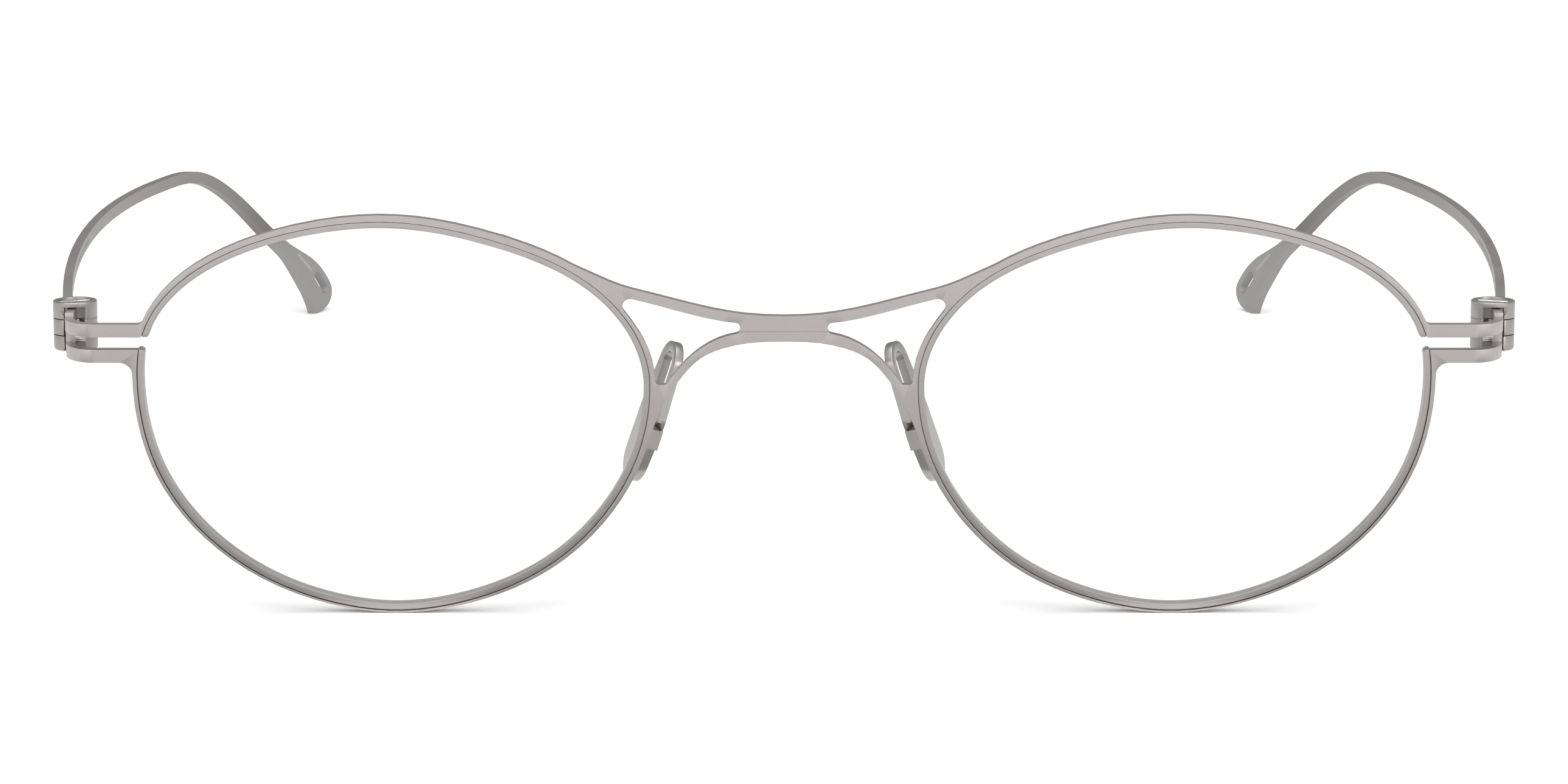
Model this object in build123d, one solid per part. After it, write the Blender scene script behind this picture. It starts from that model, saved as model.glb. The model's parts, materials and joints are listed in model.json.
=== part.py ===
"""Wire eyeglasses with a flat-cut titanium front, barrel hinges and rocking metal nose pads.

The parts are drawn in the wearing position: X to the viewer's right, Y from the front towards
the ear tips, Z up, origin on the front face between the lenses. They are then tipped as one
until the rims and the ear tips stand on z = 0. "right" is the wearer's right, at negative X;
every left part is its mirror image. Sizes are in millimetres.
"""
from build123d import *
import math
import os

# Front sheet
TILT = 6.0                  # lean of the front, top forward, degrees
SHEET = 0.8                 # sheet thickness
LENS_SEAT = [               # edge between sheet and eyewire, (x, up), wearer's right
    (-12.4, 0.3), (-13.1, 4.2), (-16.7, 9.35), (-26.8, 14.5), (-36.3, 16.25), (-44.3, 15.5),
    (-51.5, 13.2), (-56.9, 9.5), (-59.25, 6.0), (-60.05, 0.4), (-58.3, -7.9), (-51.0, -16.7),
    (-41.3, -20.9), (-36.3, -21.45), (-31.25, -20.85), (-21.6, -16.7), (-14.3, -7.9),
]
SEAT_CENTRE = (-36.3, -2.0)
BRIDGE_TOP = [(0, 7.26), (-4, 7.5), (-8, 8.27), (-12, 9.33), (-15, 10.15), (-18, 11.45),
              (-22, 13.3), (-26, 14.95)]
ARCH_LOW = [(-14.3, -8.6), (-12.65, -4.75), (-10.75, -0.35), (-9.5, 1.4), (-7.9, 3.1),
            (-5.75, 4.15), (-3.9, 4.6), (0, 4.83)]
WINDOW_TOP = [(-15.95, 9.3), (-10, 7.82), (-7, 7.05), (-4.07, 6.6)]
WINDOW_LOW = [(-4.07, 5.62), (-6, 5.13), (-8, 3.97), (-10, 1.98), (-11.0, 0.65)]
WINDOW_SIDE = [(-11.95, 0.65), (-12.2, 2.8), (-13.0, 5.0), (-14.25, 7.0), (-15.95, 9.3)]
SEAM_UP = 5.77              # bend line between the bridge bar and the nose arch
SEAM_SIZE = 0.05

# End piece: two prongs that bend back into one upright flange
PRONG_LOW, PRONG_TOP = 2.8, 6.46
SLOT_LOW, SLOT_TOP = 4.05, 5.24
FLANGE_LOW, FLANGE_TOP = 2.9, 6.8
BEND_X = -63.9              # where the flat prongs start to bend
BEND_R = 3.0                # outside radius of the bend
FLANGE_END_Y = 4.42

# Eyewire and lens
WIRE = 0.63                 # width seen from the front
WIRE_FRONT, WIRE_BACK = 0.17, 1.32
GROOVE_MID = 0.75           # depth of the groove's middle behind the front face
GROOVE_DEEP, GROOVE_WIDE = 0.32, 0.24
SEAM_WIDE, SEAM_DEEP = 0.08, 0.3            # open seam between the wire and the sheet
SEAT_PLAY = 0.02
LENS_R, LENS_THICK = 200.0, 1.8
LENS_FRONT_AT_20 = 0.0      # depth of the lens's front, 20 mm from its centre

# Hinge barrel
AXIS = (-66.4, 5.5)         # x, y of the hinge axis
BARREL_R = 2.05
BARREL_LOW, MID_LOW, MID_TOP, BARREL_TOP = 3.16, 4.6, 6.22, 7.79
RING_GAP = 0.08             # above and below the turning ring
HUB_R = 1.0
SCREW_R, SCREW_PLAY = 0.6, 0.06
HEAD_R, HEAD_SEAT_R, HEAD_SEAT_DEEP = 1.58, 1.64, 0.28
HEAD_THICK = 0.18
SLOT_WIDE, SLOT_DEEP, SLOT_TURN = 0.32, 0.1, 20.0
NOTCH_LEFT, NOTCH_RIGHT = -67.2, -65.25
NOTCH_TOP, NOTCH_LOW = 7.3, 3.3
ROOF_TOP, ROOF_SPREAD, ROOF_BACK_Y = 7.38, 0.5, 3.85
KNUCKLE_FROM, KNUCKLE_TO = 95.0, 246.0      # degrees from +X, seen from above
FILLER_FROM, FILLER_TO = -57.0, 3.0
CROSS_PIN_R, CROSS_PIN_Y, CROSS_PIN_Z = 0.35, 3.95, 4.4
CROSS_PIN_END_X = -65.25

# Temple: a chain of arcs from the hinge, each (length, degrees it turns by)
TEMPLE_START = (-67.05, 6.2, 5.4)           # x, y, z
BOW_HEADING = -10.5                         # seen from above, positive towards the nose
BOW = [(44.0, 10.5), (48.5, 13.2), (22.0, 20.0), (7.2, 0.0)]        # out, in, curl, tip
DROP_HEADING = 5.15                         # seen from the side, positive upwards
DROP = [(85.0, -7.2), (20.5, -36.7), (9.5, 0.0), (8.0, -35.0)]      # bar, ear, leg, tip
BAR_THICK, BAR_HIGH = 0.9, 1.3
TIP_THICK, TIP_WIDE = 0.85, 3.3
TIP_FROM = 0.91             # share of the length where the bar starts to widen
TIP_CORNER_R = 2.2
TIP_HOLE_LONG, TIP_HOLE_WIDE = 3.0, 1.0
TIP_HOLE_AT = (121.1, -8.65)
TIP_HOLE_LEAN = 124.0

# Nose pads: X from the rear edge to the front edge, Y up along the pad, Z away from the nose
PAD_CENTRE = (-12.7, 7.3, -3.2)
PAD_SPLAY, PAD_TURN = 18.0, 20.0
PAD_THICK = 0.8
PAD_ROUNDS = [(0.25, 4.95, 2.2), (0.0, -0.2, 2.9), (-0.5, -4.3, 2.6)]      # x, y, radius
PAD_SLOT = (5.6, 2.3)
PAD_SLOT_AT = (0.4, 3.4)
PAD_AXIS_X, LUG_UP = 2.45, -1.85            # where the pad rocks
LUG_R, LUG_LONG = 0.45, 1.0
PAD_PIN_R, PAD_PIN_PLAY = 0.25, 0.04
LIP = 0.2                                   # pad left standing on the nose side of the recess
RECESS_X, RECESS_LOW, RECESS_TOP = 1.45, -3.0, -0.25
BOX_LOW, BOX_TOP = -2.8, -0.9
CHEEK_THICK = 0.35
CHEEK_X, CHEEK_Z = 1.75, -0.45
WEB_X, WEB_FRONT_X, WEB_Z = 3.0, 3.45, -0.68
BOX_BACK, BOX_OUT = 0.6, 1.05
ARM_R = 0.4
ARM_ROUTE = [(-11.75, 0.93, -1.3), (-11.9, 2.3, -1.55)]
ARM_END = (2.7, 0.83)
ARM_LEAD = 1.2              # straight run above the box

END_SPAN = (-70.0, -60.0)   # x limits of a cutter that covers one end piece
PRONG_ROOT_X = -58.0        # where prongs and slot are hidden inside the rim
TALL = 12.0                 # height that clears every part of the hinge

FRONT = Plane(origin=(0, 0, 0), x_dir=(1, 0, 0),
              z_dir=(0, -math.cos(math.radians(TILT)), -math.sin(math.radians(TILT))))
AXIS_AT = Pos(AXIS[0], AXIS[1], 0)
BACKWARD = (0, 0, -1)       # behind the front face, in the sheet's own frame


def block(x_low, x_high, y_low, y_high, z_low, z_high):
    """A box given by its limits."""
    size = Box(x_high - x_low, y_high - y_low, z_high - z_low)
    return Pos((x_low + x_high) / 2, (y_low + y_high) / 2, (z_low + z_high) / 2) * size


def rectangle(x_low, x_high, y_low, y_high):
    """A flat rectangle given by its limits."""
    size = Rectangle(x_high - x_low, y_high - y_low)
    return Pos((x_low + x_high) / 2, (y_low + y_high) / 2) * size


def disc(radius, z_low, z_high):
    """An upright cylinder on the Z axis."""
    return Pos(0, 0, (z_low + z_high) / 2) * Cylinder(radius, z_high - z_low)


def only(shape):
    """The single solid of a shape."""
    return shape.solids().sort_by(SortBy.VOLUME)[-1]


def seat_outline(outset):
    """Face inside the lens seat's edge, moved outwards by outset(direction from its centre)."""
    seat = Spline(*LENS_SEAT, periodic=True)
    points = []
    steps = 48
    for i in range(steps):
        at = seat.position_at(i / steps)
        along = seat.tangent_at(i / steps)
        move = outset(math.atan2(at.Y - SEAT_CENTRE[1], at.X - SEAT_CENTRE[0]))
        points.append((at.X + move * along.Y, at.Y - move * along.X))
    return make_face(Spline(*points, periodic=True))


def band_width(angle):
    """Width of the sheet's rim band: broad on top and by the nose, thin below."""
    return 0.39 + 0.21 * math.sin(angle) + 0.08 * math.cos(angle) + 0.06 * math.cos(angle) ** 2


def inset(amount):
    """Face inside the lens seat's edge, moved evenly inwards."""
    return seat_outline(lambda angle: -amount)


def near_vertex(shape, x, y):
    """The vertex of a flat shape nearest to a point."""
    return min(shape.vertices(), key=lambda v: (v.X - x) ** 2 + (v.Y - y) ** 2)


def bridge_window():
    """Triangular opening between rim, bridge bar and nose arch."""
    edges = [Spline(*WINDOW_TOP), Line(WINDOW_TOP[-1], WINDOW_LOW[0]), Spline(*WINDOW_LOW),
             Line(WINDOW_LOW[-1], WINDOW_SIDE[0]), Spline(*WINDOW_SIDE)]
    face = make_face(edges)
    for corner, radius in ((WINDOW_TOP[0], 0.75), (WINDOW_TOP[-1], 0.4), (WINDOW_LOW[0], 0.4),
                           (WINDOW_LOW[-1], 0.4), (WINDOW_SIDE[0], 0.4)):
        face = fillet(near_vertex(face, *corner), radius)
    return face


def half_front_face():
    """Flat outline of the wearer's right half of the sheet."""
    rim = seat_outline(band_width)
    inner = (SEAT_CENTRE[0] / 2, BRIDGE_TOP[-1][1] - 6)
    bridge = make_face([Spline(*BRIDGE_TOP, tangents=[(-1, 0), (-1, 0.36)]),
                        Polyline(BRIDGE_TOP[-1], inner, ARCH_LOW[0]),
                        Spline(*ARCH_LOW, tangents=[(0.42, 1), (1, 0)]),
                        Line(ARCH_LOW[-1], BRIDGE_TOP[0])])
    face = rim + bridge + rectangle(BEND_X, PRONG_ROOT_X, PRONG_LOW, PRONG_TOP)
    face = fillet(near_vertex(face, -60.4, PRONG_LOW), 1.15)
    face = fillet(near_vertex(face, -59.7, PRONG_TOP), 0.5)
    slot = rectangle(END_SPAN[0], PRONG_ROOT_X, SLOT_LOW, SLOT_TOP)
    return face - inset(0) - bridge_window() - slot


def bent_end():
    """Prongs through the bend and the flange behind them, in the sheet's frame."""
    centre = (BEND_X, -BEND_R)
    outer, inner = BEND_R, BEND_R - SHEET
    side = BEND_X - BEND_R
    end = -FLANGE_END_Y - 1.5
    profile = make_face([
        Line((BEND_X, 0), (BEND_X, -SHEET)),
        CenterArc(centre, inner, 90, 90),
        Line((side + SHEET, -BEND_R), (side + SHEET, end)),
        Line((side + SHEET, end), (side, end)),
        Line((side, end), (side, -BEND_R)),
        CenterArc(centre, outer, 90, 90),
    ])
    across = Plane(origin=(0, 0, 0), x_dir=(1, 0, 0), z_dir=(0, -1, 0))
    strip = extrude(across * profile, amount=FLANGE_TOP, dir=(0, 1, 0))
    strip -= block(*END_SPAN, -1, PRONG_LOW, end, 1)
    strip -= block(*END_SPAN, PRONG_TOP, TALL, -BEND_R, 1)
    strip -= block(*END_SPAN, -1, FLANGE_LOW, end, -BEND_R)
    strip -= block(*END_SPAN, SLOT_LOW, SLOT_TOP, -BEND_R, 1)
    return strip


def front_plate():
    """The whole front: one cut and bent titanium sheet."""
    half = extrude(half_front_face(), amount=SHEET, dir=BACKWARD) + bent_end()
    half -= block(WINDOW_LOW[0][0] - 1, 0, SEAM_UP, SEAM_UP + SEAM_SIZE, -SEAM_SIZE, 1)
    half = FRONT * half
    half -= block(*END_SPAN, FLANGE_END_Y, TALL, -TALL, TALL)
    return only(half + mirror(half, Plane.YZ))


def eyewire():
    """Grooved wire inside the rim band, cut through at the end piece."""
    ring = inset(0) - inset(WIRE)
    ring -= rectangle(END_SPAN[0], PRONG_ROOT_X, SLOT_LOW, SLOT_TOP)
    ring = fillet(near_vertex(ring, -58.8, SLOT_TOP), 0.35)
    ring = fillet(near_vertex(ring, -59.1, SLOT_LOW), 0.35)
    wire = extrude(ring, amount=WIRE_BACK - WIRE_FRONT, dir=BACKWARD)
    wire = Pos(0, 0, -WIRE_FRONT) * wire
    groove = extrude(inset(WIRE - GROOVE_DEEP), amount=GROOVE_WIDE, dir=BACKWARD)
    wire -= Pos(0, 0, GROOVE_WIDE / 2 - GROOVE_MID) * groove
    seam = inset(-SEAM_WIDE) - inset(SEAM_WIDE)
    wire -= extrude(seam, amount=WIRE_FRONT + SEAM_DEEP, dir=BACKWARD)
    return only(FRONT * wire)


def lens():
    """Clear meniscus lens with a tongue round its edge that sits in the eyewire."""
    sag = 20.0 ** 2 / (2 * LENS_R)
    front_depth = LENS_FRONT_AT_20 - sag
    centre_x = -36.25
    ball_front = Pos(centre_x, -2, -front_depth - LENS_R) * Sphere(LENS_R)
    ball_back = Pos(centre_x, -2, -front_depth - LENS_R - LENS_THICK) * Sphere(LENS_R)
    body = extrude(inset(WIRE + SEAT_PLAY), amount=8, dir=BACKWARD)
    body = (Pos(0, 0, 4) * body) & ball_front
    body -= ball_back
    tongue_thick = GROOVE_WIDE - 2 * SEAT_PLAY
    tongue = extrude(inset(WIRE - GROOVE_DEEP + SEAT_PLAY), amount=tongue_thick, dir=BACKWARD)
    tongue = Pos(0, 0, tongue_thick / 2 - GROOVE_MID) * tongue
    return only(FRONT * (body + tongue))


def sector(angle_from, angle_to, z_low, z_high):
    """Upright wedge that covers a range of directions about the Z axis."""
    reach = 6.0
    count = max(2, math.ceil((angle_to - angle_from) / 60.0) + 1)
    points = [(0, 0)]
    for i in range(count):
        angle = math.radians(angle_from + (angle_to - angle_from) * i / (count - 1))
        points.append((reach * math.cos(angle), reach * math.sin(angle)))
    wedge = extrude(make_face(Polyline(*points, close=True)), amount=z_high - z_low, dir=(0, 0, 1))
    return Pos(0, 0, z_low) * wedge


def notch(z_low, z_high):
    """Space in the barrel's front that the flange enters."""
    return block(NOTCH_LEFT, NOTCH_RIGHT, 2, FLANGE_END_Y, z_low, z_high)


def end_edge(ring, top):
    """The outermost circle at a ring's top or bottom."""
    group = ring.edges().filter_by(GeomType.CIRCLE).group_by(Axis.Z)[-1 if top else 0]
    return group.sort_by(SortBy.LENGTH)[-1]


def hinge_top():
    """Top ring: a sunk seat for the screw head and a notch with a flared mouth."""
    ring = disc(BARREL_R, MID_TOP, BARREL_TOP) - disc(SCREW_R + SEAT_PLAY, 0, TALL)
    ring = chamfer(end_edge(ring, True), 0.08)
    ring -= disc(HEAD_SEAT_R, BARREL_TOP - HEAD_SEAT_DEEP, TALL)
    ring = AXIS_AT * ring
    ring -= notch(MID_TOP - 1, NOTCH_TOP)
    mouth = Polyline((NOTCH_LEFT, MID_TOP + 0.3), (NOTCH_RIGHT, MID_TOP + 0.3),
                     (NOTCH_RIGHT + ROOF_SPREAD, ROOF_TOP), (NOTCH_LEFT - ROOF_SPREAD, ROOF_TOP),
                     close=True)
    at_front = Plane(origin=(0, 2, 0), x_dir=(1, 0, 0), z_dir=(0, -1, 0))
    ring -= extrude(at_front * make_face(mouth), amount=ROOF_BACK_Y - 2, dir=(0, 1, 0))
    return only(ring)


def hinge_bottom():
    """Bottom ring with a rounded foot, a notch for the flange and the screw's thread hole."""
    ring = disc(BARREL_R, BARREL_LOW, MID_LOW)
    ring = fillet(end_edge(ring, False), 0.3) - disc(SCREW_R + SEAT_PLAY, BARREL_LOW + 0.4, TALL)
    ring = AXIS_AT * ring
    return only(ring - notch(NOTCH_LOW, MID_LOW + 1))


def hinge_filler():
    """Fixed part of the middle ring on the nose side, which joins top and bottom ring."""
    body = disc(BARREL_R, MID_LOW, MID_TOP) - disc(HUB_R + 0.12, 0, TALL)
    body &= sector(FILLER_FROM, FILLER_TO, MID_LOW, MID_TOP)
    rims = body.edges().filter_by(GeomType.CIRCLE).filter_by(
        lambda edge: abs(edge.radius - BARREL_R) < 0.01)
    return only(AXIS_AT * chamfer(rims, 0.05) - cross_pin())


def cross_pin():
    """Level pin between the flange and the filler."""
    start = BEND_X - BEND_R + SHEET
    length = CROSS_PIN_END_X - start
    pin = Rot(0, 90, 0) * Cylinder(CROSS_PIN_R, length)
    return only(Pos(start + length / 2, CROSS_PIN_Y, CROSS_PIN_Z) * pin)


def knuckle():
    """Turning part of the middle ring, with its hub round the screw."""
    low, top = MID_LOW + RING_GAP, MID_TOP - RING_GAP
    body = disc(BARREL_R, low, top) & sector(KNUCKLE_FROM, KNUCKLE_TO, low, top)
    body += disc(HUB_R, low, top)
    body -= disc(SCREW_R + SCREW_PLAY, 0, TALL)
    return only(AXIS_AT * body)


def hinge_screw():
    """Screw from above: slotted head in the top ring, shank through all three rings."""
    head_top = BARREL_TOP - HEAD_SEAT_DEEP + HEAD_THICK
    head = disc(HEAD_R, BARREL_TOP - HEAD_SEAT_DEEP, head_top)
    head = chamfer(end_edge(head, True), 0.05)
    slot = block(-2, 2, -SLOT_WIDE / 2, SLOT_WIDE / 2, head_top - SLOT_DEEP, head_top + 1)
    head -= Rot(0, 0, SLOT_TURN) * slot
    shank = disc(SCREW_R, BARREL_LOW + 0.45, BARREL_TOP - HEAD_SEAT_DEEP)
    return only(AXIS_AT * (head + shank))


def route(start, heading, stretches):
    """Points along a chain of arcs, as (along, across); each arc is (length, degrees)."""
    along, across = start
    points = [start]
    for length, turn in stretches:
        steps = max(2, round(length / 6))
        for _ in range(steps):
            middle = math.radians(heading + turn / steps / 2)
            along += length / steps * math.cos(middle)
            across += length / steps * math.sin(middle)
            heading += turn / steps
            points.append((along, across))
    return points


def ribbon(points, width_at):
    """Face that follows a curve through the points with a width that varies along it."""
    curve = Spline(*points)
    steps = 40
    one_side, other_side = [], []
    for i in range(steps + 1):
        at = curve.position_at(i / steps)
        along = curve.tangent_at(i / steps)
        half = width_at(i / steps) / 2
        one_side.append((at.X - half * along.Y, at.Y + half * along.X))
        other_side.append((at.X + half * along.Y, at.Y - half * along.X))
    return make_face([Spline(*one_side), Line(one_side[-1], other_side[-1]),
                      Spline(*other_side), Line(other_side[0], one_side[0])])


def widening(bar, tip):
    """Width law: the bar's width, then a smooth growth to the tip's."""
    def width_at(share):
        grown = min(1.0, max(0.0, (share - TIP_FROM) / (0.97 - TIP_FROM)))
        return bar + (tip - bar) * grown * grown * (3 - 2 * grown)
    return width_at


def temple():
    """Bent bar from the hinge over the ear, ending in a flat tip with a hole."""
    x, y, z = TEMPLE_START
    seen_from_above = [(across, along) for along, across in route((y, x), BOW_HEADING, BOW)]
    plan = ribbon(seen_from_above, widening(BAR_THICK, TIP_THICK))
    side = ribbon(route((y, z), DROP_HEADING, DROP), widening(BAR_HIGH, TIP_WIDE))
    rear = max(side.vertices(), key=lambda v: v.X)
    side = fillet(rear, TIP_CORNER_R)
    hole = Rot(0, 0, TIP_HOLE_LEAN) * SlotOverall(TIP_HOLE_LONG, TIP_HOLE_WIDE)
    side -= Pos(TIP_HOLE_AT[0], TIP_HOLE_AT[1]) * hole
    from_above = Pos(0, 0, -40) * extrude(plan, amount=80, dir=(0, 0, 1))
    from_side = Pos(-95, 0, 0) * extrude(Plane.YZ * side, amount=60, dir=(1, 0, 0))
    bar = from_above & from_side
    return only(bar - AXIS_AT * disc(BARREL_R, 0, TALL))


def pad_frame():
    """Frame of a pad: X from its rear edge to its front, Y up along it, Z away from the nose."""
    splay, turn = math.radians(PAD_SPLAY), math.radians(PAD_TURN)
    up = Vector(math.sin(splay), 0, math.cos(splay))
    rearward = Vector(-math.sin(turn), math.cos(turn), 0)
    outward = up.cross(rearward)
    return Plane(origin=PAD_CENTRE, x_dir=up.cross(outward), z_dir=outward)


def pin_cylinder(radius, length):
    """Cylinder on the line that the pad rocks about, in the pad's frame."""
    return Pos(PAD_AXIS_X, LUG_UP, 0) * (Rot(90, 0, 0) * Cylinder(radius, length))


def nose_pad():
    """Long thin pad with a slot, and a lug in a recess of its front edge."""
    outline = make_hull([(Pos(x, y) * Circle(r)).edge() for x, y, r in PAD_ROUNDS])
    outline -= Pos(*PAD_SLOT_AT) * (Rot(0, 0, 90) * SlotOverall(*PAD_SLOT))
    body = extrude(outline, amount=PAD_THICK, dir=BACKWARD)
    body -= block(RECESS_X, PAD_AXIS_X + TALL, RECESS_LOW, RECESS_TOP, LIP - PAD_THICK, TALL)
    low, top = LUG_UP - LUG_LONG / 2, LUG_UP + LUG_LONG / 2
    lug = block(RECESS_X - LUG_R, PAD_AXIS_X, low, top, -LUG_R, 0)
    lug += block(PAD_AXIS_X - LUG_R, PAD_AXIS_X + LUG_R, low, top, LIP / 2 - PAD_THICK, 0)
    lug += pin_cylinder(LUG_R, LUG_LONG)
    lug -= pin_cylinder(PAD_PIN_R + PAD_PIN_PLAY, LUG_LONG + 1)
    return only(pad_frame() * (body + lug))


def pad_box():
    """Fork that holds the pad's lug: two cheeks, a front web and an outer web."""
    body = block(CHEEK_X, WEB_FRONT_X, BOX_LOW, BOX_TOP, CHEEK_Z, BOX_OUT)
    body += block(WEB_X, WEB_FRONT_X, BOX_LOW, BOX_TOP, WEB_Z, BOX_OUT)
    front_edges = body.edges().filter_by(Axis.Y).group_by(Axis.X)[-1]
    body = fillet(front_edges, 0.12)
    body -= block(0, WEB_X, BOX_LOW + CHEEK_THICK, BOX_TOP - CHEEK_THICK, -1, BOX_BACK)
    return only(pad_frame() * (body - pin_cylinder(PAD_PIN_R, TALL)))


def pad_pin():
    """Pin that the pad rocks on."""
    return only(pad_frame() * pin_cylinder(PAD_PIN_R, BOX_TOP - BOX_LOW))


def pad_arm():
    """Bent round wire from the back of the rim down to the top of the pad's box."""
    frame = pad_frame()
    end = frame.from_local_coords(Vector(ARM_END[0], BOX_TOP, ARM_END[1]))
    before = frame.from_local_coords(Vector(ARM_END[0], BOX_TOP + ARM_LEAD, ARM_END[1]))
    path = Spline(*ARM_ROUTE, before, end)
    section = Plane(origin=path @ 0, z_dir=path % 0) * Circle(ARM_R)
    return only(sweep(section, path=path))


RIGHT_PARTS = {
    "front_plate": front_plate, "eyewire": eyewire, "lens": lens,
    "pad_arm": pad_arm, "pad_box": pad_box, "pad_pin": pad_pin, "nose_pad": nose_pad,
    "hinge_top": hinge_top, "hinge_bottom": hinge_bottom, "hinge_filler": hinge_filler,
    "cross_pin": cross_pin, "hinge_screw": hinge_screw, "knuckle": knuckle, "temple": temple,
}

TRIMS = {                   # parts shaped to fit against others
    "pad_arm": ("pad_box", "eyewire", "front_plate"),
    "hinge_filler": ("front_plate",),
    "hinge_top": ("front_plate",),
    "hinge_bottom": ("front_plate",),
}


def lowest(shape):
    """Height of a shape's lowest point."""
    return shape.bounding_box().min.Z


def stand_location(plate, side_bar):
    """Turn about X that sets rims and ear tips on one level, then the move to the origin."""
    angle = 0.0
    reach = side_bar.bounding_box().max.Y
    for _ in range(6):
        turned = Rot(angle, 0, 0)
        drop = lowest(turned * side_bar) - lowest(turned * plate)
        angle -= math.degrees(math.atan2(drop, reach))
    turned = Rot(angle, 0, 0)
    bar_box, front_box = (turned * side_bar).bounding_box(), (turned * plate).bounding_box()
    middle = (front_box.min.Y + bar_box.max.Y) / 2
    return Pos(0, -middle, -front_box.min.Z) * turned


def make_right_parts():
    """Every part of the wearer's right side, and the front sheet."""
    parts = {name: make() for name, make in RIGHT_PARTS.items()}
    for name, others in TRIMS.items():
        for other in others:
            parts[name] = only(parts[name] - parts[other])
    return parts


def report_axes(place):
    """Print the places that the joints need."""
    hinge = place * (AXIS_AT * Pos(0, 0, (MID_LOW + MID_TOP) / 2))
    pad = place * (pad_frame().location * Pos(PAD_AXIS_X, LUG_UP, 0))
    for name, at, along in (("hinge", hinge, Pos(0, 0, 1)), ("pad pin", pad, Pos(0, 1, 0))):
        print(name, "at", at.position, "axis", (at * along).position - at.position)
    print("placed at", place.position, "turned by", place.orientation)


def main():
    os.makedirs("parts", exist_ok=True)
    parts = make_right_parts()
    place = stand_location(parts["front_plate"], parts["temple"])
    for name, right in parts.items():
        if name == "front_plate":
            nodes = {name: right}
        else:
            nodes = {name + "_right": right, name + "_left": mirror(right, Plane.YZ)}
        for node, shape in nodes.items():
            export_step(place * shape, os.path.join("parts", node + ".step"))
    report_axes(place)


main()
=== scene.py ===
"""Looks for the wire eyeglasses: satin titanium, polished screws and pins, clear lenses.

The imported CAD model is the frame. Its nodes stay where they are and get bevels and materials;
thin etched bars on the temples are the only added pieces. Lengths are in metres.
"""

import json
import math

import bpy
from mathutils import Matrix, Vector
from mathutils.bvhtree import BVHTree

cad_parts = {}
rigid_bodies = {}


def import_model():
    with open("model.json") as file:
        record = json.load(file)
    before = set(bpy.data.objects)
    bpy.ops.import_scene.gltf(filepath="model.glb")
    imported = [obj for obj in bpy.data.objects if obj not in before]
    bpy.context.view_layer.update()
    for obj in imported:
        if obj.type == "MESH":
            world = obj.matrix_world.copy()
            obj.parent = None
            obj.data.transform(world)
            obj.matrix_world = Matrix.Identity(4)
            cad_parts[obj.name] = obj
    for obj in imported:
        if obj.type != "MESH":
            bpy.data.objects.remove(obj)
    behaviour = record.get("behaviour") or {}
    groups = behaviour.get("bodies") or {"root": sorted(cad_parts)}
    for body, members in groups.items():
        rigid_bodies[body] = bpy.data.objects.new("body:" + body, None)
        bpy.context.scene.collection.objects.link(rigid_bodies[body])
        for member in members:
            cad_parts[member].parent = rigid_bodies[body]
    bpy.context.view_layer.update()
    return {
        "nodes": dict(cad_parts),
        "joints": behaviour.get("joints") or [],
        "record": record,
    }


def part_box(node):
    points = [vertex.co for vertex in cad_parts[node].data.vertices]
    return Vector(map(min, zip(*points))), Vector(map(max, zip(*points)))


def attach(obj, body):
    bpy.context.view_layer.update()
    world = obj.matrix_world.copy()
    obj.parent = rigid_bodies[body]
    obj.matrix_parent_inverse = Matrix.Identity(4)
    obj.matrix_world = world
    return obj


for leftover in list(bpy.data.objects):
    bpy.data.objects.remove(leftover)

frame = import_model()

MM = 0.001
NODES = frame["nodes"]
SIDES = ("right", "left")


# ---------------------------------------------------------------- node helpers
def new_material(name):
    """An empty node material with its Principled shader and output."""
    material = bpy.data.materials.new(name)
    material.use_nodes = True
    tree = material.node_tree
    tree.nodes.clear()
    shader = tree.nodes.new("ShaderNodeBsdfPrincipled")
    output = tree.nodes.new("ShaderNodeOutputMaterial")
    tree.links.new(shader.outputs["BSDF"], output.inputs["Surface"])
    return material, tree, shader


def noise(tree, size, detail=2.0):
    """Noise whose features are about the given size in metres."""
    coords = tree.nodes.new("ShaderNodeTexCoord")
    texture = tree.nodes.new("ShaderNodeTexNoise")
    texture.inputs["Scale"].default_value = 1.0 / size
    texture.inputs["Detail"].default_value = detail
    tree.links.new(coords.outputs["Object"], texture.inputs["Vector"])
    return texture.outputs["Fac"]


def ramp(tree, factor, stops):
    """Colour ramp over a factor; stops are (position, grey or colour)."""
    node = tree.nodes.new("ShaderNodeValToRGB")
    elements = node.color_ramp.elements
    while len(elements) < len(stops):
        elements.new(0.5)
    for element, (position, value) in zip(elements, stops):
        colour = value if isinstance(value, tuple) else (value, value, value)
        element.position = position
        element.color = (*colour, 1.0)
    tree.links.new(factor, node.inputs["Fac"])
    return node.outputs["Color"]


def bump(tree, shader, layers):
    """Bumps on top of each other; layers are (height, strength, distance)."""
    last = None
    for height, strength, distance in layers:
        node = tree.nodes.new("ShaderNodeBump")
        node.inputs["Strength"].default_value = strength
        node.inputs["Distance"].default_value = distance
        tree.links.new(height, node.inputs["Height"])
        if last is not None:
            tree.links.new(last, node.inputs["Normal"])
        last = node.outputs["Normal"]
    tree.links.new(last, shader.inputs["Normal"])


def scaled(colour, share):
    """The colour made darker or lighter by a share."""
    return tuple(channel * share for channel in colour)


# ---------------------------------------------------------------- materials
FRONT_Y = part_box("lens_right")[0][1]        # foremost point of the object
TIP_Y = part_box("temple_right")[1][1]        # rearmost point, the end of an ear tip
PAINTED_SHADE_FROM_FRONT = 1.6 * MM                  # the temple's painted shade starts and ends this far inside those two
PAINTED_SHADE_TO_TIP = 1.0 * MM                      # this far inside those two


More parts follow.
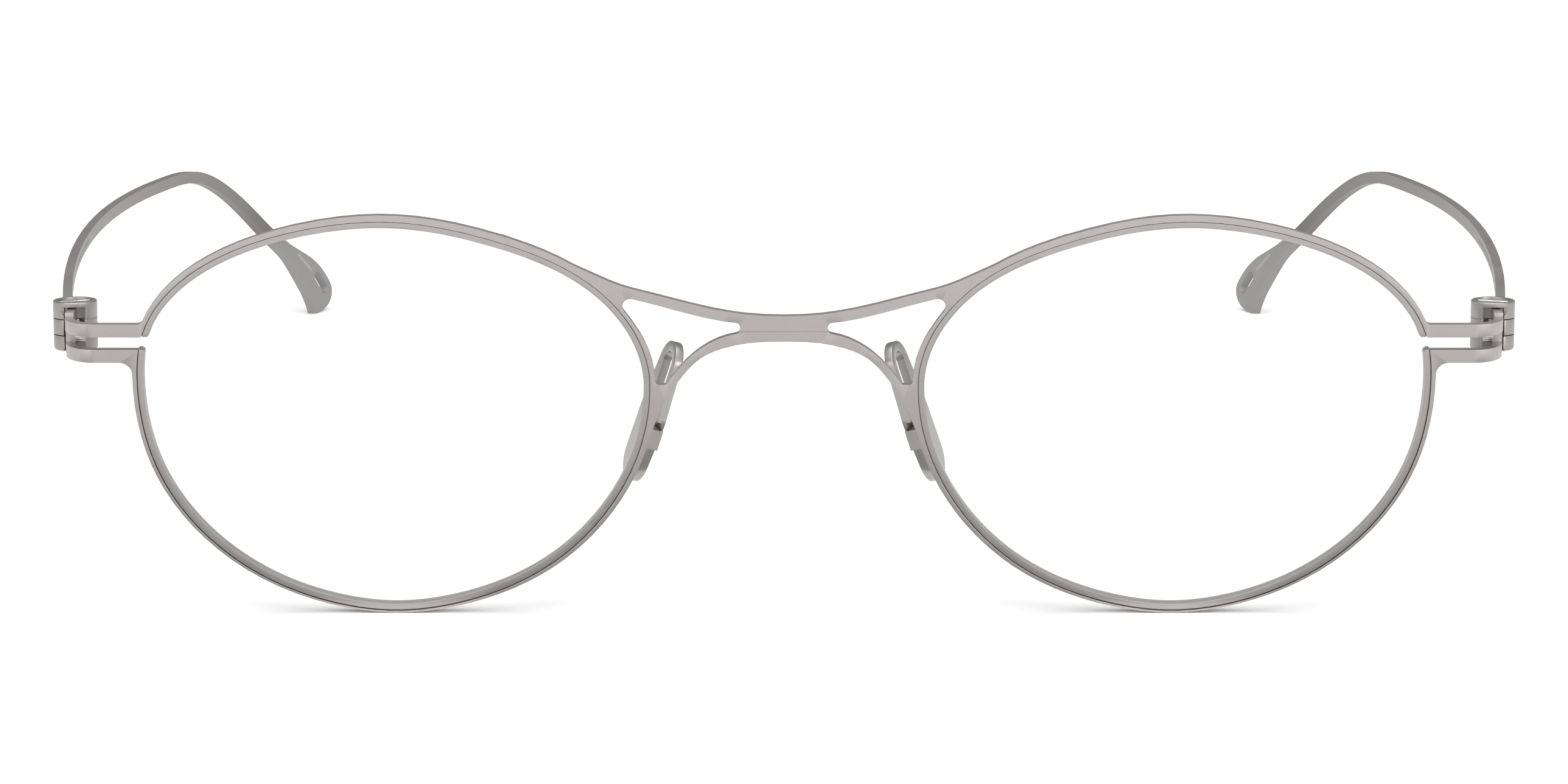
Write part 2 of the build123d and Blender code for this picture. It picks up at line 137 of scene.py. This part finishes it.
def satin_metal(name, colour, rough, grain=0.09 * MM, grain_strength=0.16):
    """Bead-blasted titanium: fine grain, faint cloudiness, worn a little shinier in patches."""
    material, tree, shader = new_material(name)
    shader.inputs["Metallic"].default_value = 1.0
    cloud = noise(tree, 4.0 * MM, 3.0)
    speck = noise(tree, grain, 1.0)
    mix = tree.nodes.new("ShaderNodeMix")
    mix.data_type = "RGBA"
    mix.inputs["Factor"].default_value = 0.35
    tones = ramp(tree, cloud, [(0.3, scaled(colour, 0.955)), (0.7, scaled(colour, 1.035))])
    specks = ramp(tree, speck, [(0.3, scaled(colour, 0.90)), (0.7, scaled(colour, 1.08))])
    tree.links.new(tones, mix.inputs["A"])
    tree.links.new(specks, mix.inputs["B"])
    tree.links.new(mix.outputs["Result"], shader.inputs["Base Color"])
    tree.links.new(ramp(tree, cloud, [(0.3, rough - 0.035), (0.7, rough + 0.035)]),
                   shader.inputs["Roughness"])
    bump(tree, shader, [(speck, grain_strength, 0.012 * MM), (cloud, 0.05, 0.05 * MM)])
    return material


def temple_metal_painted_shade():
    """Titanium of the temples, darker towards the ear tip.

    The darkening is painted shade, standing in for the shade under this light; the real finish
    may be even.
    """
    material = satin_metal("titanium_temple", (0.370, 0.350, 0.343), 0.55)
    tree = material.node_tree
    shader = next(node for node in tree.nodes if node.type == "BSDF_PRINCIPLED")
    finish = shader.inputs["Base Color"].links[0].from_socket
    coords = tree.nodes.new("ShaderNodeTexCoord")
    split = tree.nodes.new("ShaderNodeSeparateXYZ")
    span = tree.nodes.new("ShaderNodeMapRange")
    span.inputs["From Min"].default_value = FRONT_Y + PAINTED_SHADE_FROM_FRONT
    span.inputs["From Max"].default_value = TIP_Y - PAINTED_SHADE_TO_TIP
    painted_shade = tree.nodes.new("ShaderNodeMix")
    painted_shade.data_type = "RGBA"
    painted_shade.blend_type = "MULTIPLY"
    painted_shade.inputs["Factor"].default_value = 1.0
    tree.links.new(coords.outputs["Object"], split.inputs["Vector"])
    tree.links.new(split.outputs["Y"], span.inputs["Value"])
    # painted shade: the base colour is multiplied darker towards the ear tip
    tones = ramp(tree, span.outputs["Result"],
                 [(0.1, 1.0), (0.5, 0.93), (0.75, 0.82), (0.88, 0.74), (0.96, 0.50)])
    tree.links.new(finish, painted_shade.inputs["A"])
    tree.links.new(tones, painted_shade.inputs["B"])
    tree.links.new(painted_shade.outputs["Result"], shader.inputs["Base Color"])
    return material


def polished_metal(name, colour, rough):
    """Polished metal with faint fine scratches."""
    material, tree, shader = new_material(name)
    shader.inputs["Metallic"].default_value = 1.0
    line = noise(tree, 0.12 * MM, 3.0)
    tree.links.new(ramp(tree, line, [(0.3, scaled(colour, 0.93)), (0.7, colour)]),
                   shader.inputs["Base Color"])
    tree.links.new(ramp(tree, line, [(0.35, rough - 0.04), (0.7, rough + 0.06)]),
                   shader.inputs["Roughness"])
    bump(tree, shader, [(line, 0.10, 0.006 * MM)])
    return material


def clear_lens():
    """Coated clear lens: hardly any reflection, a trace of dust and smear in the gloss."""
    material, tree, shader = new_material("lens_clear")
    shader.inputs["Base Color"].default_value = (0.97, 0.985, 0.98, 1.0)
    shader.inputs["IOR"].default_value = 1.35
    shader.inputs["Alpha"].default_value = 0.07
    smear = noise(tree, 9.0 * MM, 4.0)
    tree.links.new(ramp(tree, smear, [(0.35, 0.02), (0.75, 0.09)]),
                   shader.inputs["Roughness"])
    bump(tree, shader, [(smear, 0.02, 0.02 * MM)])
    return material


def etched_metal():
    """Laser-etched bar: darker and rougher than the metal round it."""
    material, tree, shader = new_material("etched_bar")
    shader.inputs["Metallic"].default_value = 1.0
    speck = noise(tree, 0.05 * MM, 2.0)
    tree.links.new(ramp(tree, speck, [(0.3, 0.25), (0.7, 0.33)]),
                   shader.inputs["Base Color"])
    tree.links.new(ramp(tree, speck, [(0.3, 0.55), (0.7, 0.7)]),
                   shader.inputs["Roughness"])
    bump(tree, shader, [(speck, 0.2, 0.008 * MM)])
    return material


MATERIALS = {
    "titanium_front": satin_metal("titanium_front", (0.485, 0.456, 0.450), 0.45),
    "titanium_wire": satin_metal("titanium_wire", (0.455, 0.430, 0.424), 0.44,
                                 0.07 * MM, 0.12),
    "titanium_barrel": satin_metal("titanium_barrel", (0.375, 0.358, 0.350), 0.44,
                                   0.08 * MM, 0.12),
    "titanium_temple": temple_metal_painted_shade(),
    "titanium_pad": satin_metal("titanium_pad", (0.42, 0.400, 0.392), 0.32,
                                0.06 * MM, 0.06),
    "polished_steel": polished_metal("polished_steel", (0.82, 0.81, 0.80), 0.14),
    "lens": clear_lens(),
}
ETCHED = etched_metal()


# ---------------------------------------------------------------- edges of the CAD nodes
BEVELS = {                  # edge rounding in mm, by start of the node's name
    "front_plate": 0.05, "eyewire": 0.03, "pad_arm": 0.04, "pad_box": 0.04,
    "pad_pin": 0.03, "nose_pad": 0.10, "hinge_top": 0.05, "hinge_bottom": 0.05,
    "hinge_filler": 0.03, "cross_pin": 0.03, "hinge_screw": 0.02, "knuckle": 0.04,
    "temple": 0.14, "lens": 0.02,
}
SHARP_EDGE = math.radians(35)               # edges sharper than this stay sharp
ROUNDED_EDGE = math.radians(38)             # and sharper than this are rounded
WELD_GAP = 0.0005 * MM


def smooth_group():
    """Geometry nodes that drop imported normals, then shade smooth between sharp edges."""
    group = bpy.data.node_groups.new("smooth_by_angle", "GeometryNodeTree")
    group.interface.new_socket("Geometry", in_out="INPUT", socket_type="NodeSocketGeometry")
    group.interface.new_socket("Geometry", in_out="OUTPUT", socket_type="NodeSocketGeometry")
    start = group.nodes.new("NodeGroupInput")
    end = group.nodes.new("NodeGroupOutput")
    forget = group.nodes.new("GeometryNodeRemoveAttribute")
    forget.inputs["Name"].default_value = "custom_normal"
    faces = group.nodes.new("GeometryNodeSetShadeSmooth")
    edges = group.nodes.new("GeometryNodeSetShadeSmooth")
    edges.domain = "EDGE"
    edges.inputs["Shade Smooth"].default_value = False
    angle = group.nodes.new("GeometryNodeInputMeshEdgeAngle")
    compare = group.nodes.new("FunctionNodeCompare")
    compare.operation = "GREATER_THAN"
    compare.inputs["B"].default_value = SHARP_EDGE
    group.links.new(start.outputs[0], forget.inputs["Geometry"])
    group.links.new(forget.outputs["Geometry"], faces.inputs["Geometry"])
    group.links.new(faces.outputs["Geometry"], edges.inputs["Geometry"])
    group.links.new(angle.outputs["Unsigned Angle"], compare.inputs["A"])
    group.links.new(compare.outputs["Result"], edges.inputs["Selection"])
    group.links.new(edges.outputs["Geometry"], end.inputs[0])
    return group


SMOOTH = smooth_group()


def soften(node, width):
    """Weld the mesh, round its edges and shade it smooth, all in modifiers."""
    weld = node.modifiers.new("weld", "WELD")
    weld.merge_threshold = WELD_GAP
    edge = node.modifiers.new("edge", "BEVEL")
    edge.width = width
    edge.segments = 3
    edge.limit_method = "ANGLE"
    edge.angle_limit = ROUNDED_EDGE
    edge.miter_outer = "MITER_ARC"
    node.modifiers.new("smooth", "NODES").node_group = SMOOTH
    weighted = node.modifiers.new("weighted", "WEIGHTED_NORMAL")
    weighted.keep_sharp = True
    weighted.weight = 80


slot_of = {part["node"]: part["material_slot"] for part in frame["record"]["subparts"]}
for name, node in NODES.items():
    node.data.materials.clear()
    node.data.materials.append(MATERIALS[slot_of[name]])
    kind = next(start for start in BEVELS if name.startswith(start))
    soften(node, BEVELS[kind] * MM)


# ---------------------------------------------------------------- etched bars
TIP_BAR = ((-3.273, 4.177), (-1.373, 1.777))    # both ends as (y, z) in mm from the tip's hole
BOW_BAR = ((24.672, -0.324), (38.672, -0.724))  # and from the hinge
TIP_BAR_WIDTH, BOW_BAR_WIDTH = 0.36 * MM, 0.34 * MM
BAR_LIFT, BAR_SINK = 0.008 * MM, -0.03 * MM     # its faces, out of and into the metal
BAR_STEPS = 24


def named(rows, name):
    """The row of the record with that name."""
    return next(row for row in rows if row["name"] == name)


def surface_of(node):
    """Search tree over a node's rest mesh."""
    mesh = NODES[node].data
    return BVHTree.FromPolygons([vertex.co for vertex in mesh.vertices],
                                [face.vertices for face in mesh.polygons])


def etched_bar(name, side, place, ends, width):
    """Thin bar on a temple's inner side; its ends are (y, z) in mm from a place."""
    tree = surface_of("temple_" + side)
    outward = -1 if side == "right" else 1
    start, end = (Vector((place[1] + y * MM, place[2] + z * MM)) for y, z in ends)
    along = end - start
    across = Vector((-along.y, along.x)).normalized() * width / 2
    vertices, faces = [], []
    for i in range(BAR_STEPS + 1):
        middle = start + along * i / BAR_STEPS
        for sign in (-1, 1):
            y, z = middle + across * sign
            spot, normal, _, _ = tree.ray_cast(Vector((0, y, z)), Vector((outward, 0, 0)))
            if spot is None:
                raise ValueError(name + " leaves the temple")
            vertices += [spot + normal * BAR_LIFT, spot + normal * BAR_SINK]
    for i in range(BAR_STEPS):
        a = 4 * i
        b = a + 4
        faces += [(a, b, b + 2, a + 2), (a + 1, a + 3, b + 3, b + 1),
                  (a, a + 1, b + 1, b), (a + 2, b + 2, b + 3, a + 3)]
    last = 4 * BAR_STEPS
    faces += [(0, 2, 3, 1), (last, last + 1, last + 3, last + 2)]
    mesh = bpy.data.meshes.new(name)
    mesh.from_pydata(vertices, [], faces)
    mesh.validate()
    bar = bpy.data.objects.new(name, mesh)
    bpy.context.scene.collection.objects.link(bar)
    mesh.materials.append(ETCHED)
    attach(bar, "temple_" + side)


for side in SIDES:
    tip_hole = named(frame["record"]["mounts"], "tip_hole_" + side)["pos_m"]
    hinge = named(frame["joints"], "temple_fold_" + side)["pos_m"]
    etched_bar("etched_tip_" + side, side, tip_hole, TIP_BAR, TIP_BAR_WIDTH)
    etched_bar("etched_bow_" + side, side, hinge, BOW_BAR, BOW_BAR_WIDTH)


# ---------------------------------------------------------------- stage
VIEW_ELEVATION = math.radians(10.2)         # above the plane through the open temples
VIEW_DISTANCE = 0.45
VIEW_BELOW_CLIP = 6.5 * MM                  # point aimed at, below the clip's mount
LENS_LENGTH, SENSOR_WIDTH = 111.31, 36      # of the camera, in mm
FLOOR_HALF, FLOOR_DROP = 12.0, 0.02 * MM
FLAG_HALF, FLAG_DEPTH = 0.12, 53.6 * MM
FLAG_GAP, FLAG_HEIGHT = 0.1944 * MM, 0.5 * MM   # behind the object's front, above the floor
STUDIO_STRENGTH = 0.86
LIGHTS = {                                  # place, side of the square and power
    "overhead": ((0.0, -0.2, 1.3), 1.6, 13),
    "front_left": ((-0.9, -1.2, 0.7), 0.9, 4.5),
    "front_right": ((1.0, -1.1, 0.6), 0.8, 6.5),
}


def aimed_at():
    """Point the camera aims at: the clip mount's place moved down the sheet's face."""
    mount = named(frame["record"]["mounts"], "clip_on_rest")
    normal = Vector(mount["axis"])
    up = Vector((0, -normal.z, normal.y))
    if up.z < 0:
        up = -up
    return Vector(mount["pos_m"]) - up * VIEW_BELOW_CLIP


def hinge_lean():
    """How far the hinge axis leans back from upright, in radians."""
    axis = Vector(named(frame["joints"], "temple_fold_left")["axis"])
    return math.atan2(axis.y, axis.z)


def make_camera():
    """Long lens in front of the object, a little above it."""
    elevation = VIEW_ELEVATION + hinge_lean()
    back = Vector((0, -math.cos(elevation), math.sin(elevation)))
    data = bpy.data.cameras.new("camera")
    data.lens = LENS_LENGTH
    data.sensor_width = SENSOR_WIDTH
    data.clip_start, data.clip_end = 0.01, 50
    camera = bpy.data.objects.new("camera", data)
    bpy.context.scene.collection.objects.link(camera)
    camera.location = aimed_at() + back * VIEW_DISTANCE
    camera.rotation_mode = "QUATERNION"
    camera.rotation_quaternion = (-back).to_track_quat("-Z", "Y")
    bpy.context.scene.camera = camera


def flat_card(name, half, near, far, height):
    """Level rectangle across the scene, from near to far."""
    mesh = bpy.data.meshes.new(name)
    mesh.from_pydata([(-half, near, height), (half, near, height),
                      (half, far, height), (-half, far, height)], [], [(0, 1, 2, 3)])
    card = bpy.data.objects.new(name, mesh)
    bpy.context.scene.collection.objects.link(card)
    return card


def make_floor():
    """Plain pale floor."""
    floor = flat_card("floor", FLOOR_HALF, -FLOOR_HALF, FLOOR_HALF, 0)
    floor.location.z = -FLOOR_DROP
    material, tree, shader = new_material("floor_card")
    grain = noise(tree, 0.4 * MM, 2.0)
    tree.links.new(ramp(tree, grain, [(0.3, 0.90), (0.7, 0.92)]),
                   shader.inputs["Base Color"])
    tree.links.new(ramp(tree, grain, [(0.3, 0.85), (0.7, 0.95)]),
                   shader.inputs["Roughness"])
    shader.inputs["Specular IOR Level"].default_value = 0.1
    floor.data.materials.append(material)


def make_flag():
    """Dark card on the floor before the object, seen only in its gloss."""
    edge = FRONT_Y + FLAG_GAP
    flag = flat_card("flag", FLAG_HALF, edge - FLAG_DEPTH, edge, FLAG_HEIGHT)
    material, tree, shader = new_material("flag_felt")
    fibre = noise(tree, 0.5 * MM, 2.0)
    tree.links.new(ramp(tree, fibre, [(0.3, 0.33), (0.7, 0.37)]),
                   shader.inputs["Base Color"])
    shader.inputs["Roughness"].default_value = 0.95
    shader.inputs["Specular IOR Level"].default_value = 0.0
    flag.data.materials.append(material)
    for ray in ("camera", "diffuse", "shadow", "transmission", "volume_scatter"):
        setattr(flag, "visible_" + ray, False)


def area_light(name, place, size, power):
    """Square soft light that points at the origin."""
    data = bpy.data.lights.new(name, "AREA")
    data.shape = "RECTANGLE"
    data.size = data.size_y = size
    data.energy = power
    light = bpy.data.objects.new(name, data)
    bpy.context.scene.collection.objects.link(light)
    light.location = place
    light.rotation_mode = "QUATERNION"
    light.rotation_quaternion = (-Vector(place)).to_track_quat("-Z", "Y")


def make_world():
    """Soft surround: bright in front and darker behind."""
    world = bpy.data.worlds.new("studio")
    bpy.context.scene.world = world
    world.use_nodes = True
    tree = world.node_tree
    tree.nodes.clear()
    coords = tree.nodes.new("ShaderNodeTexCoord")
    split = tree.nodes.new("ShaderNodeSeparateXYZ")
    span = tree.nodes.new("ShaderNodeMapRange")
    span.inputs["From Min"].default_value = -1.0
    span.inputs["From Max"].default_value = 1.0
    background = tree.nodes.new("ShaderNodeBackground")
    output = tree.nodes.new("ShaderNodeOutputWorld")
    tree.links.new(coords.outputs["Generated"], split.inputs["Vector"])
    tree.links.new(split.outputs["Y"], span.inputs["Value"])
    tones = ramp(tree, span.outputs["Result"],
                 [(0.0, 1.0), (0.5, 0.85), (0.75, 0.55), (1.0, 0.35)])
    tree.links.new(tones, background.inputs["Color"])
    background.inputs["Strength"].default_value = STUDIO_STRENGTH
    tree.links.new(background.outputs["Background"], output.inputs["Surface"])


make_camera()
make_floor()
make_flag()
make_world()
for name, (place, size, power) in LIGHTS.items():
    area_light(name, place, size, power)

view = bpy.context.scene.view_settings
view.view_transform = "Standard"
view.look = "None"
